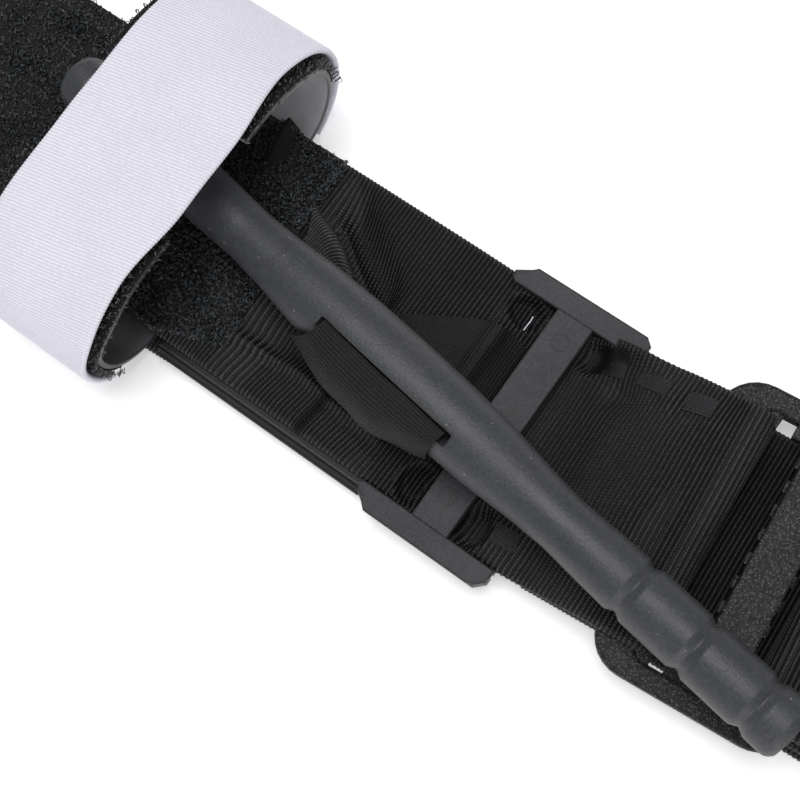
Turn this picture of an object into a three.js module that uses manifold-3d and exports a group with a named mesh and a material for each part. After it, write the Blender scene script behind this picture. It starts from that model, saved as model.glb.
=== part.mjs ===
// Windlass tourniquet laid flat: a webbing band run through a slotted base plate and a routing
// buckle, a windlass rod turned in the inner strap and held in a two-horned clip, and a security
// strap closed over the horns. Millimetres. +X runs along the band from the clip towards the
// buckle, +Z is up, and the origin is on the resting face below the clip's open end.
import * as THREE from 'three';
import * as BufferGeometryUtils from 'three/addons/utils/BufferGeometryUtils.js';
import Module from 'manifold-3d';

const wasm = await Module();
wasm.setup();

// Driving dimensions
const BAND_WIDTH = 38;
const BAND_T = 1.4; // webbing with its inner strap, pressed flat
const RUN_T = 2.0; // lower run and end bends: double webbing and loop pile
const LAYER_T = 0.6; // one webbing layer of the sleeve
const INNER_T = 0.5;
const PILE_T = 0.6;
const GAP = 0.3;
const THIN_GAP = 0.15;

const LOOP_LEFT = -150; // centre of the flattened loop's left bend
const LOOP_RIGHT = 228;
const BEND_R = 5;
const SLEEVE_LEFT = -112;
const LOWER_INSET = { left: 11, right: 4 }; // the lower run stops this far inside the bends' centres
const BEND_GAP = 1.3;
const LOWER_YAW = THREE.MathUtils.degToRad(3);
const LOWER_SHIFT_Y = -2.2;
const INNER_STRAP = { right: 9, half: 12 }; // the inner strap's stretch inside the sleeve
const LOOP_TAPE = { right: 6.5, margin: 0.4 };

const PLATE_T = 1.5;
const PLATE_HALF = 20.3;
const PLATE_BOTTOM = RUN_T + GAP;
const PLATE_TOP = PLATE_BOTTOM + PLATE_T;
const PLATE_SHIFT_Y = -0.4; // the plate lies a little to the handle's side of the band
const SLEEVE_LIFT = 0.2;
const FRAME = { left: 36.8, right: 60, half: 22, top: 6.1, windowLeft: 40.2, windowRight: 56.4, chamfer: 2 };
const FRAME_BAR = { left: 45.8, right: 51.9, bottom: 4.1, top: 5.9 };
const SLEEVE_RIGHT = 37.6;
const WINDOW_HALF = 19.6;
const JOIN = 0.6; // how far the flanges and the bar run into the plate

const CLIP = { left: -27, right: -1.3 };
const CLIP_WALL = 1.5;
const CLIP_BASE_HALF = 19;
const HORN_TIP = { y: 9.1, z: 22.8 };
const HOOK_T = 1.3;
const HOOK_MARGIN = 0.4;
const HOOKS_FROM = 3; // steps up the horn where the hook tape starts
const STRAP_T = 1.0;
const STRAP = { left: -25.0, right: -0.8, topZ: 25.9 };
const SKIRT = { from: 4, to: 11 }; // steps up the near horn that the anchored part covers
const FLAP_HANG = { from: 11.5, mid: 9.5, end: 5.5 }; // heights where the free end hangs straight

const ROD_LENGTH = 140;
const ROD_HANDLE_R = 4.5;
const ROD_WAIST_R = 4.15;
const ROD_MID_R = 5.75;
const ROD_CENTRE = new THREE.Vector3(34.4, -4.5, 13.5); // centre of the strap slot
const ROD_YAW = THREE.MathUtils.degToRad(-8.7);
const ROD_PITCH = THREE.MathUtils.degToRad(1.5);
const ROD_SLOT = { length: 25, width: 2.6, tilt: THREE.MathUtils.degToRad(57) }; // the slot opens upwards and to -Y
const BELLY_DEPTH = 4.6; // the inner strap hanging beside the rod, below its axis
const STRETCH = { z: 6.2, t: 0.7 }; // the inner strap's flat stretches under the rod
const GROOVES_AT = [43.6, 54.2, 64.6];
const GROOVE_HALF = 1.2;
const GROOVE_DEPTH = 0.8;

const RIGHT_YAW = THREE.MathUtils.degToRad(5); // the buckle side lies slightly turned
const BUCKLE = { left: 74, right: 104, half: 23, bottom: 4.9, t: 2.8, corner: 6 };
const BUCKLE_SLOTS = [{ left: 80.5, right: 87.8 }, { left: 94.2, right: 99.8 }];
const BUCKLE_SLOT_HALF = 19.7;
const BUCKLE_BEVEL = 0.5;
const BAR_RECESS = 0.2; // the toothed bar lies this far inside the buckle's faces
const TOOTH = { depth: 0.6, length: 1.9, pitch: 3.8, count: 9 };
const TAIL_HINGE_X = 108;
const TAIL_END = 205;
const HOOK_FROM_X = 145; // the tail's last stretch has hook tape under it
const TIP_LENGTH = 18;
const TIP_T = 2.2;
const HOOK_TAPE_T = 0.5;
const TAIL_LIFT = 2.6; // the tail's centreline above the incoming band's

// Materials
const webbing = new THREE.MeshStandardMaterial({ color: 0x1d1e21, roughness: 0.85, metalness: 0 });
const pile = new THREE.MeshStandardMaterial({ color: 0x17181a, roughness: 1, metalness: 0 });
const innerWeave = new THREE.MeshStandardMaterial({ color: 0x252527, roughness: 0.8, metalness: 0 });
const nylon = new THREE.MeshStandardMaterial({ color: 0x33353a, roughness: 0.6, metalness: 0 });
const rodNylon = new THREE.MeshStandardMaterial({ color: 0x45474c, roughness: 0.65, metalness: 0 });
const whiteWebbing = new THREE.MeshStandardMaterial({ color: 0xe6e4ee, roughness: 0.8, metalness: 0 });
const hooks = new THREE.MeshStandardMaterial({ color: 0x1b1c1e, roughness: 0.9, metalness: 0 });

// Helpers
const v2 = (x, y) => new THREE.Vector2(x, y);

function named(name, geometry, material) {
  const mesh = new THREE.Mesh(geometry, material);
  mesh.name = name;
  return mesh;
}

function copyOf(material) {
  return material.clone();
}

function toManifold(geometry) {
  const bare = geometry.clone();
  bare.deleteAttribute('normal');
  bare.deleteAttribute('uv');
  const merged = BufferGeometryUtils.mergeVertices(bare, 1e-4);
  return new wasm.Manifold(new wasm.Mesh({
    numProp: 3,
    vertProperties: new Float32Array(merged.attributes.position.array),
    triVerts: new Uint32Array(merged.index.array),
  }));
}

function fromManifold(solid) {
  const mesh = solid.getMesh();
  const geometry = new THREE.BufferGeometry();
  geometry.setAttribute('position', new THREE.BufferAttribute(new Float32Array(mesh.vertProperties), 3));
  geometry.setIndex(new THREE.BufferAttribute(new Uint32Array(mesh.triVerts), 1));
  return geometry;
}

function box(x0, x1, y0, y1, z0, z1) {
  const geometry = new THREE.BoxGeometry(x1 - x0, y1 - y0, z1 - z0);
  geometry.translate((x0 + x1) / 2, (y0 + y1) / 2, (z0 + z1) / 2);
  return geometry;
}

// A closed outline at half the thickness either side of a centreline.
function bandOutline(centreline, thickness) {
  const left = [];
  const right = [];
  centreline.forEach((point, i) => {
    const before = centreline[Math.max(i - 1, 0)];
    const after = centreline[Math.min(i + 1, centreline.length - 1)];
    const into = point.clone().sub(before);
    const out = after.clone().sub(point);
    if (i === 0) into.copy(out);
    if (i === centreline.length - 1) out.copy(into);
    into.normalize();
    out.normalize();
    const along = into.clone().add(out).normalize();
    const reach = thickness / 2 / Math.max(along.dot(into), 0.5);
    const side = v2(-along.y, along.x).multiplyScalar(reach);
    left.push(point.clone().add(side));
    right.push(point.clone().sub(side));
  });
  return new THREE.Shape([...left, ...right.reverse()]);
}

// Extrudes a side profile drawn in X and Z across the band's width.
function acrossBand(shape, width, centreY = 0) {
  const geometry = new THREE.ExtrudeGeometry(shape, { depth: width, bevelEnabled: false, curveSegments: 8 });
  geometry.rotateX(Math.PI / 2);
  geometry.translate(0, centreY + width / 2, 0);
  return geometry;
}

// Extrudes a profile drawn in Y and Z along X, from x0 to x1.
function alongBand(shape, x0, x1) {
  const geometry = new THREE.ExtrudeGeometry(shape, { depth: x1 - x0, bevelEnabled: false, curveSegments: 8 });
  geometry.applyMatrix4(new THREE.Matrix4().set(0, 0, 1, x0, 1, 0, 0, 0, 0, 1, 0, 0, 0, 0, 0, 1));
  return geometry;
}

function smooth(points, steps) {
  const curve = new THREE.CatmullRomCurve3(points.map((p) => new THREE.Vector3(p.x, p.y, 0)), false, 'centripetal');
  return curve.getPoints(steps).map((p) => v2(p.x, p.y));
}

function arc(cx, cy, r, from, to, steps) {
  const points = [];
  for (let i = 0; i <= steps; i += 1) {
    const a = THREE.MathUtils.degToRad(from + ((to - from) * i) / steps);
    points.push(v2(cx + r * Math.cos(a), cy + r * Math.sin(a)));
  }
  return points;
}

// Sleeve layers of the upper run, with the loop tape sewn on top
function upperRun() {
  const half = BAND_WIDTH / 2;
  const underZ = PLATE_TOP + SLEEVE_LIFT;
  const innerZ = underZ + LAYER_T + THIN_GAP;
  const topZ = innerZ + INNER_T + THIN_GAP;
  const pileZ = topZ + LAYER_T + THIN_GAP;
  return [
    named('band_sleeve_under', box(SLEEVE_LEFT, SLEEVE_RIGHT, -half, half, underZ, underZ + LAYER_T), copyOf(webbing)),
    named('inner_strap_in_sleeve', box(SLEEVE_LEFT, INNER_STRAP.right, -INNER_STRAP.half, INNER_STRAP.half, innerZ,
      innerZ + INNER_T), copyOf(innerWeave)),
    named('band_sleeve_top', box(SLEEVE_LEFT, SLEEVE_RIGHT, -half, half, topZ, topZ + LAYER_T), copyOf(webbing)),
    named('loop_tape', box(SLEEVE_LEFT, LOOP_TAPE.right, -half + LOOP_TAPE.margin, half - LOOP_TAPE.margin, pileZ,
      pileZ + PILE_T), copyOf(pile)),
  ];
}

// The flattened loop's lower run and its two end bends
function lowerLoop() {
  const from = LOOP_LEFT + LOWER_INSET.left;
  const to = LOOP_RIGHT - LOWER_INSET.right;
  const lower = named('band_lower', box(from, to, -BAND_WIDTH / 2, BAND_WIDTH / 2, 0, RUN_T), copyOf(webbing));
  lower.rotation.z = LOWER_YAW;
  lower.position.y = LOWER_SHIFT_Y;
  const mid = RUN_T / 2;
  const rise = smooth([v2(SLEEVE_LEFT - GAP, 5), v2(-130, 6.6), v2(-142, 9.6), v2(LOOP_LEFT, mid + 2 * BEND_R)], 10);
  const leftPath = [...rise, ...arc(LOOP_LEFT, mid + BEND_R, BEND_R, 102, 270, 10), v2(from - BEND_GAP, mid)];
  const leftBend = named('band_left_bend', acrossBand(bandOutline(leftPath, RUN_T), BAND_WIDTH), copyOf(webbing));
  leftBend.position.y = (LOWER_SHIFT_Y + LOOP_LEFT * Math.sin(LOWER_YAW)) / 2;
  const rightPath = [...arc(LOOP_RIGHT, mid + BEND_R, BEND_R, 90, -90, 12), v2(to + BEND_GAP, mid)];
  const rightBend = named('band_right_bend', acrossBand(bandOutline(rightPath, RUN_T), BAND_WIDTH), copyOf(webbing));
  rightBend.position.y = LOWER_SHIFT_Y + LOOP_RIGHT * Math.sin(LOWER_YAW);
  return [lower, leftBend, rightBend];
}

// Base plate with the slotted frame moulded on its buckle end
function basePlate() {
  const { left, right, half, top, windowLeft, windowRight, chamfer } = FRAME;
  const outline = new THREE.Shape([
    v2(CLIP.right + GAP, -PLATE_HALF), v2(left, -PLATE_HALF), v2(left + chamfer, -half), v2(right - chamfer, -half),
    v2(right, -half + chamfer), v2(right, half - chamfer), v2(right - chamfer, half), v2(left + chamfer, half),
    v2(left, PLATE_HALF), v2(CLIP.right + GAP, PLATE_HALF),
  ]);
  outline.holes.push(new THREE.Path([
    v2(windowLeft, -WINDOW_HALF), v2(windowLeft, WINDOW_HALF), v2(windowRight, WINDOW_HALF), v2(windowRight, -WINDOW_HALF),
  ]));
  const plate = new THREE.ExtrudeGeometry(outline, { depth: PLATE_T, bevelEnabled: false });
  plate.translate(0, 0, PLATE_BOTTOM);
  let solid = toManifold(plate);
  for (const side of [-1, 1]) {
    const flange = new THREE.Shape([
      v2(left + JOIN, side * WINDOW_HALF), v2(left + chamfer, side * half), v2(right - chamfer, side * half),
      v2(right, side * (half - chamfer)), v2(right, side * WINDOW_HALF),
    ]);
    const wall = new THREE.ExtrudeGeometry(flange, { depth: top - PLATE_BOTTOM - JOIN, bevelEnabled: false });
    wall.translate(0, 0, PLATE_BOTTOM + JOIN);
    solid = solid.add(toManifold(wall));
  }
  const barHalf = WINDOW_HALF + JOIN;
  const bar = box(FRAME_BAR.left, FRAME_BAR.right, -barHalf, barHalf, FRAME_BAR.bottom, FRAME_BAR.top);
  solid = solid.add(toManifold(bar));
  const mesh = named('base_plate', fromManifold(solid), copyOf(nylon));
  mesh.position.y = PLATE_SHIFT_Y;
  return mesh;
}

// One horn's wall centreline, from the clip's base to the tip, in Y and Z
function hornPath() {
  const baseZ = PLATE_BOTTOM + CLIP_WALL / 2;
  const lower = new THREE.CubicBezierCurve(v2(CLIP_BASE_HALF, baseZ), v2(27, 4.5), v2(28.4, 13), v2(25, 17.6));
  const upper = new THREE.CubicBezierCurve(v2(25, 17.6), v2(22, 21.6), v2(15.5, 23.2), v2(HORN_TIP.y, HORN_TIP.z));
  return [...lower.getPoints(10), ...upper.getPoints(8).slice(1)];
}

function mirrored(points) {
  return points.map((p) => v2(-p.x, p.y)).reverse();
}

// The path shifted sideways by reach, to the right of its direction.
function offsetPath(points, reach) {
  return points.map((point, i) => {
    const before = points[Math.max(i - 1, 0)];
    const after = points[Math.min(i + 1, points.length - 1)];
    const along = after.clone().sub(before).normalize();
    return point.clone().add(v2(along.y, -along.x).multiplyScalar(reach));
  });
}

function clip() {
  const horn = hornPath();
  const wall = bandOutline([...mirrored(horn), ...horn], CLIP_WALL);
  const parts = [named('windlass_clip', alongBand(wall, CLIP.left, CLIP.right), copyOf(nylon))];
  const hookPath = offsetPath(horn, CLIP_WALL / 2 + THIN_GAP + HOOK_T / 2).slice(HOOKS_FROM);
  for (const [name, path] of [['hook_tape_far', hookPath], ['hook_tape_near', mirrored(hookPath)]]) {
    const tape = alongBand(bandOutline(path, HOOK_T), CLIP.left + HOOK_MARGIN, CLIP.right - HOOK_MARGIN);
    parts.push(named(name, tape, copyOf(hooks)));
  }
  return parts;
}

// The security strap: an anchored skirt on the near horn and a flap over both horns
function securityStrap() {
  const reach = CLIP_WALL / 2 + THIN_GAP + HOOK_T + THIN_GAP + STRAP_T / 2;
  const outside = offsetPath(hornPath(), reach);
  const across = (path) => alongBand(bandOutline(path, STRAP_T), STRAP.left, STRAP.right);
  const skirt = mirrored(outside.slice(SKIRT.from, SKIRT.to + 1));
  const anchor = named('security_strap_anchor', across(skirt), copyOf(whiteWebbing));
  const nearOver = outside.slice(SKIRT.to).map((p) => v2(-p.x, p.y));
  nearOver[0].lerp(nearOver[1], 0.2);
  const widest = Math.max(...outside.map((p) => p.x));
  const farOver = outside.filter((p) => p.y > FLAP_HANG.from).reverse();
  const hang = [v2(widest, FLAP_HANG.mid), v2(widest, FLAP_HANG.end)];
  const flap = named('security_strap', across([...nearOver, v2(0, STRAP.topZ), ...farOver, ...hang]),
    copyOf(whiteWebbing));
  return [anchor, flap];
}

function rodProfile() {
  const half = ROD_LENGTH / 2;
  const right = [v2(0, half), v2(ROD_HANDLE_R - 1.6, half), v2(ROD_HANDLE_R - 0.5, half - 0.5), v2(ROD_HANDLE_R, half - 1.4)];
  for (const at of [...GROOVES_AT].reverse()) {
    const top = Math.min(at + GROOVE_HALF, half - 1.5);
    right.push(v2(ROD_HANDLE_R, top), v2(ROD_HANDLE_R - GROOVE_DEPTH, at + 0.3));
    right.push(v2(ROD_HANDLE_R - GROOVE_DEPTH, at - 0.3), v2(ROD_HANDLE_R, at - GROOVE_HALF));
  }
  right.push(v2(ROD_HANDLE_R - 0.05, 38), v2(ROD_WAIST_R, 31), v2(ROD_WAIST_R + 0.35, 25), v2(ROD_MID_R - 0.45, 17));
  right.push(v2(ROD_MID_R - 0.08, 9), v2(ROD_MID_R, 0));
  const left = right.slice(0, -1).map((p) => v2(p.x, -p.y)).reverse();
  return [...right, ...left].reverse();
}

function windlass() {
  const turned = new THREE.LatheGeometry(rodProfile(), 24);
  turned.rotateZ(-Math.PI / 2);
  const { length, width, tilt } = ROD_SLOT;
  const slot = box(-length / 2, length / 2, -10, 10, -width / 2, width / 2);
  slot.rotateX(-tilt);
  const rod = named('windlass_rod', fromManifold(toManifold(turned).subtract(toManifold(slot))), copyOf(rodNylon));
  const inSlot = box(-length / 2 + 1.2, length / 2 - 1.2, -5, 5, -INNER_T, INNER_T);
  inSlot.rotateX(-tilt);
  const strapInSlot = named('inner_strap_in_slot', inSlot, copyOf(innerWeave));
  const bellyShape = new THREE.Shape([
    v2(-17, -6.4), v2(-12, -7.6), v2(-5, -8.7), v2(2, -9), v2(8, -8.2), v2(12, -6.4),
  ]);
  const bellyGeometry = new THREE.ExtrudeGeometry(bellyShape, { depth: BELLY_DEPTH, bevelEnabled: false });
  bellyGeometry.translate(0, 0, -BELLY_DEPTH);
  const belly = named('inner_strap_belly', bellyGeometry, copyOf(innerWeave));
  const group = new THREE.Group();
  group.position.copy(ROD_CENTRE);
  group.rotation.order = 'ZYX';
  group.rotation.set(0, -ROD_PITCH, ROD_YAW);
  group.add(rod, strapInSlot, belly);
  return group;
}

// The inner strap's flat stretches beside the slot: out of the sleeve and into the frame
function innerStrapStretches() {
  const leftShape = new THREE.Shape([v2(7, -7), v2(19, -10), v2(24, -8), v2(23, 4), v2(14, 9.8), v2(7, 9.5)]);
  const rightShape = new THREE.Shape([v2(26, -10), v2(42, -9), v2(42, 10.3), v2(27, 3.6)]);
  const flat = (name, shape) => {
    const geometry = new THREE.ExtrudeGeometry(shape, { depth: STRETCH.t, bevelEnabled: false });
    geometry.translate(0, 0, STRETCH.z);
    return named(name, geometry, copyOf(innerWeave));
  };
  return [flat('inner_strap_left', leftShape), flat('inner_strap_right', rightShape)];
}

// Band from the sleeve down through the frame, up to the buckle's first rail and folded back
function fixedEnd() {
  const half = BAND_T / 2;
  const railTop = BUCKLE.bottom + BUCKLE.t + GAP + half;
  const railBottom = BUCKLE.bottom - GAP - half;
  const inFrame = smooth([
    v2(SLEEVE_RIGHT + GAP, 4.85), v2(41.8, 4.3), v2(45.6, 3.15), v2(48.8, 3.05), v2(52.1, 3.15),
    v2(55.2, 4.3), v2(59.2, 5.0),
  ], 14);
  const toFrame = named('band_in_frame', acrossBand(bandOutline(inFrame, BAND_T), BAND_WIDTH), copyOf(webbing));
  const pivotX = FRAME.right - 0.5;
  const turn = (railTop - railBottom) / 2;
  const path = [
    ...smooth([v2(61.6, 5.3), v2(66, 6.8), v2(70.5, 8.3), v2(74.5, railTop)], 8),
    ...arc(BUCKLE_SLOTS[0].left - 1.2, (railTop + railBottom) / 2, turn, 90, -90, 10),
    ...smooth([v2(74.5, railBottom), v2(68, railBottom - 0.2), v2(62.5, 3.3)], 5),
  ];
  const wrapped = named('band_fixed_end', acrossBand(bandOutline(path, BAND_T), BAND_WIDTH), copyOf(webbing));
  return { toFrame, wrapped, pivotX };
}

function buckleBar(x0, x1, z0, z1) {
  let bar = toManifold(box(x0, x1, -BUCKLE_SLOT_HALF - 1, BUCKLE_SLOT_HALF + 1, z0, z1));
  for (let i = 0; i < TOOTH.count; i += 1) {
    const y = (i - (TOOTH.count - 1) / 2) * TOOTH.pitch;
    const lug = box(x0 - TOOTH.depth, x1 + TOOTH.depth, y - TOOTH.length / 2, y + TOOTH.length / 2, z0 + 0.6, z1 - 0.4);
    bar = bar.add(toManifold(lug));
  }
  return bar;
}

function roundedRect(x0, x1, half, corner) {
  const shape = new THREE.Shape();
  shape.moveTo(x0 + corner, -half);
  shape.lineTo(x1 - corner, -half);
  shape.absarc(x1 - corner, -half + corner, corner, -Math.PI / 2, 0, false);
  shape.lineTo(x1, half - corner);
  shape.absarc(x1 - corner, half - corner, corner, 0, Math.PI / 2, false);
  shape.lineTo(x0 + corner, half);
  shape.absarc(x0 + corner, half - corner, corner, Math.PI / 2, Math.PI, false);
  shape.lineTo(x0, -half + corner);
  shape.absarc(x0 + corner, -half + corner, corner, Math.PI, Math.PI * 1.5, false);
  return shape;
}

function routingBuckle() {
  const { left, right, half, bottom, t, corner } = BUCKLE;
  const outline = roundedRect(left, right, half, corner);
  const window = new THREE.Path([
    v2(BUCKLE_SLOTS[0].left, -BUCKLE_SLOT_HALF), v2(BUCKLE_SLOTS[0].left, BUCKLE_SLOT_HALF),
    v2(BUCKLE_SLOTS[1].right, BUCKLE_SLOT_HALF), v2(BUCKLE_SLOTS[1].right, -BUCKLE_SLOT_HALF),
  ]);
  outline.holes.push(window);
  const bevel = BUCKLE_BEVEL;
  const body = new THREE.ExtrudeGeometry(outline, {
    depth: t - 2 * bevel, bevelEnabled: true, bevelThickness: bevel, bevelSize: bevel, bevelOffset: -bevel,
    bevelSegments: 1, curveSegments: 5,
  });
  body.translate(0, 0, bottom + bevel);
  const bar = buckleBar(BUCKLE_SLOTS[0].right, BUCKLE_SLOTS[1].left, bottom + BAR_RECESS,
    bottom + t - BAR_RECESS);
  return named('routing_buckle', fromManifold(toManifold(body).add(bar)), copyOf(nylon));
}

// Centreline of the incoming band, low under the tail and then rising to the bend
const INCOMING = [v2(99.3, 3.1), v2(114, 3.1), v2(134, 3.6), v2(160, 4.7)];
const INCOMING_RISE = [v2(160 + GAP, 4.72), v2(190, 6.6), v2(212, 9.5), v2(226, 11)];

function looseEnd() {
  const half = BAND_T / 2;
  const top = BUCKLE.bottom + BUCKLE.t + GAP + half;
  const incoming = [['band_incoming', INCOMING], ['band_incoming_rise', INCOMING_RISE]].map(([name, path]) => (
    named(name, acrossBand(bandOutline(smooth(path, 8), BAND_T), BAND_WIDTH), copyOf(webbing))
  ));
  const base = [
    v2(97.1, 4.2),
    ...arc(99.1, top - 2, 2, 180, 90, 5),
    ...smooth([v2(104.2, top), v2(106, 8.3), v2(TAIL_HINGE_X - GAP, 7.6)], 5),
  ];
  const tailBase = named('tail_fold', acrossBand(bandOutline(base, BAND_T), BAND_WIDTH), copyOf(webbing));
  const tailPath = smooth([
    v2(TAIL_HINGE_X, 7.5), v2(116, 6.0), v2(150, 4.2 + TAIL_LIFT), v2(190, 6.6 + TAIL_LIFT), v2(TAIL_END, 8.1 + TAIL_LIFT),
  ], 14);
  const tail = named('tail', acrossBand(bandOutline(tailPath, BAND_T), BAND_WIDTH), copyOf(webbing));
  const hookPath = offsetPath(tailPath, half + THIN_GAP + HOOK_TAPE_T / 2).filter((p) => p.x > HOOK_FROM_X);
  const hookTape = named('tail_hook_tape', acrossBand(bandOutline(hookPath, HOOK_TAPE_T), BAND_WIDTH - 2), copyOf(hooks));
  const tipPath = [v2(TAIL_END + GAP, 8.15 + TAIL_LIFT), v2(TAIL_END + TIP_LENGTH, 10.5 + TAIL_LIFT)];
  const tip = named('band_tip', acrossBand(bandOutline(tipPath, TIP_T), BAND_WIDTH - 1), copyOf(nylon));
  return [...incoming, tailBase, tail, hookTape, tip];
}

const tourniquet = new THREE.Group();
tourniquet.add(...lowerLoop(), basePlate(), ...upperRun(), ...clip(), ...securityStrap());
tourniquet.add(windlass(), ...innerStrapStretches());
const { toFrame, wrapped, pivotX } = fixedEnd();
tourniquet.add(toFrame);
const buckleSide = new THREE.Group();
buckleSide.position.set(pivotX, 0, 0);
buckleSide.rotation.z = RIGHT_YAW;
const shifted = new THREE.Group();
shifted.position.x = -pivotX;
shifted.add(wrapped, routingBuckle(), ...looseEnd());
buckleSide.add(shifted);
tourniquet.add(buckleSide);

export default tourniquet;
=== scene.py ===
import math

import bmesh
import bpy
import numpy as np
from mathutils import Matrix, Vector
from mathutils.bvhtree import BVHTree


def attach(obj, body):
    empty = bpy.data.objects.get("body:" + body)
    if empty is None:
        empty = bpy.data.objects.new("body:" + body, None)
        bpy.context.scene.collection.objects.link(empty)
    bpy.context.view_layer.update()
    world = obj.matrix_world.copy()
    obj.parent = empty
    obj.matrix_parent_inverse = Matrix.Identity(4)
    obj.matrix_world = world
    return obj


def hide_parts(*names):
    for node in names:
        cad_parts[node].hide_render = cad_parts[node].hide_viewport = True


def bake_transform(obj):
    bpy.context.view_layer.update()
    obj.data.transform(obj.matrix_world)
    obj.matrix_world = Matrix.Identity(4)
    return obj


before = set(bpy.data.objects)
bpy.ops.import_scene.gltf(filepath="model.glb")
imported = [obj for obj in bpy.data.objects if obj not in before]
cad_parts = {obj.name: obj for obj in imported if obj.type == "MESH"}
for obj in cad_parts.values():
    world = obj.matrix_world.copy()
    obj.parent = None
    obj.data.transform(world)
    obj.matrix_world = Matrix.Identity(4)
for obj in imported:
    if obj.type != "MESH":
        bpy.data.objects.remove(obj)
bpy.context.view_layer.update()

BAND = "band_and_plate"  # the body that stays put

# ---- dimensions, in millimetres
MM = 0.001
HALF = 19.0  # half the band's width
BAND_T, INCOMING_T, LOWER_T = 1.4, 1.5, 1.9
LAYER_T = 1.0  # one layer of the sleeve, with its share of the inner strap
RIB = 0.7  # pitch of the webbing's cross ribs
ROWS = 4  # mesh rows per rib
STEP = RIB / ROWS
TOP_Z = 5.5  # middle of the sleeve's upper layer
UNDER_Z = 4.4  # and of its lower layer
SLEEVE_END = -112.3
PIVOT_X = 59.5  # the buckle side lies turned by RIGHT_YAW about this place
RIGHT_YAW = 5.0
LOWER_YAW = 3.0
LOWER_SHIFT_Y = -2.2
ROD_CENTRE = (34.4, -4.5, 13.5)
ROD_YAW, ROD_PITCH = -8.7, 1.5
ROD_HALF = 70.0  # half the rod's length
ROD_UNDERSIDE = 7.0  # the rod's left end swings just above this
SLOT_TILT = 57.0
SLOT_HALF = 12.5
CLIP = (-27.0, -0.9)  # the clip, from its closed side to the end that faces the buckle
CLIP_MID, CLIP_HALF = sum(CLIP) / 2, (CLIP[1] - CLIP[0]) / 2
STRAP = (-24.6, -0.8)  # the security strap's two edges
PLATE_Y = (-20.1, 19.0)  # the plate's two edges, a little to the handle's side of the band
FRAME_Y = (-22.7, 21.2)  # the slotted frame's two edges


# ---- maths
def rot_z(degrees):
    a = math.radians(degrees)
    return np.array([[math.cos(a), -math.sin(a), 0], [math.sin(a), math.cos(a), 0], [0, 0, 1]])


def rot_y(degrees):
    a = math.radians(degrees)
    return np.array([[math.cos(a), 0, math.sin(a)], [0, 1, 0], [-math.sin(a), 0, math.cos(a)]])


def ramp(a, b, x):
    """A smooth step from 0 at a to 1 at b."""
    t = np.clip((np.asarray(x, float) - a) / (b - a), 0, 1)
    return t * t * (3 - 2 * t)


def bump(x, centre, reach):
    return np.exp(-(((np.asarray(x, float) - centre) / reach) ** 2))


def hollow(x, y, cx, cy, rx, ry):
    """A flat-bottomed dent with fairly steep walls, 1 inside and 0 outside."""
    return 1 - ramp(0.55, 1.25, np.sqrt(((x - cx) / rx) ** 2 + ((y - cy) / ry) ** 2))


def along(points, x):
    """The second coordinate of a line of points at x."""
    return np.interp(x, [p[0] for p in points], [p[1] for p in points])


def unit(v):
    return v / np.maximum(np.linalg.norm(v, axis=-1, keepdims=True), 1e-12)


def wander(seed, n, x, y, scale):
    """A smooth random field of x and y, about -1 to 1, from n sine waves no shorter than scale."""
    rng = np.random.default_rng(seed)
    total = np.zeros(np.broadcast(x, y).shape)
    for _ in range(n):
        a, phase = rng.uniform(0, 2 * math.pi, 2)
        k = 2 * math.pi / (scale * rng.uniform(1, 2.5))
        total += np.sin(k * (x * math.cos(a) + y * math.sin(a)) + phase)
    return total / math.sqrt(n)


def smooth_line(points, step):
    """A smooth curve through rows of points, resampled at an even step along the first three columns."""
    p = np.asarray(points, float)
    chord = np.linalg.norm(np.diff(p[:, :3], axis=0), axis=1)
    t = np.concatenate([[0], np.cumsum(chord)])
    slope = np.diff(p, axis=0) / chord[:, None]
    tangent = np.empty_like(p)
    tangent[0], tangent[-1] = slope[0], slope[-1]
    w = (chord[:-1] / (chord[:-1] + chord[1:]))[:, None]
    tangent[1:-1] = slope[:-1] * (1 - w) + slope[1:] * w
    u = np.linspace(0, t[-1], max(400, int(t[-1] / step) * 3))
    i = np.clip(np.searchsorted(t, u, side="right") - 1, 0, len(chord) - 1)
    h = chord[i][:, None]
    x = ((u - t[i]) / chord[i])[:, None]
    curve = (
        (2 * x**3 - 3 * x**2 + 1) * p[i] + (x**3 - 2 * x**2 + x) * h * tangent[i]
        + (3 * x**2 - 2 * x**3) * p[i + 1] + (x**3 - x**2) * h * tangent[i + 1]
    )
    run = np.concatenate([[0], np.cumsum(np.linalg.norm(np.diff(curve[:, :3], axis=0), axis=1))])
    n = max(2, int(round(run[-1] / step)) + 1)
    at = np.linspace(0, run[-1], n)
    return np.stack([np.interp(at, run, curve[:, k]) for k in range(curve.shape[1])], axis=1), at


def even_line(points, count):
    """A smooth curve through the points, as count + 1 evenly spaced points."""
    fitted, at = smooth_line(points, np.linalg.norm(np.diff(points, axis=0), axis=1).sum() / count)
    even = np.linspace(0, at[-1], count + 1)
    return np.stack([np.interp(even, at, fitted[:, k]) for k in range(3)], axis=1)


def arc(cx, cz, r, start, end, n):
    a = np.radians(np.linspace(start, end, n + 1))
    return [(cx + r * math.cos(t), cz + r * math.sin(t)) for t in a]


def on_right(x, y, z):
    """A point of the buckle side, given as if the band ran straight on."""
    p = rot_z(RIGHT_YAW) @ np.array([x - PIVOT_X, y, 0.0])
    return np.array([p[0] + PIVOT_X, p[1], z])


def right_row(x, z, yaw=RIGHT_YAW):
    """A row of a spine on the buckle side."""
    return (*on_right(x, 0, z), yaw)


def right_rows(*places):
    return [right_row(x, z) for x, z in places]


def lower_row(x, z):
    """A row of a spine on the lower run."""
    p = rot_z(LOWER_YAW) @ np.array([x, 0, 0])
    return (p[0], p[1] + LOWER_SHIFT_Y, z, LOWER_YAW)


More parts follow.
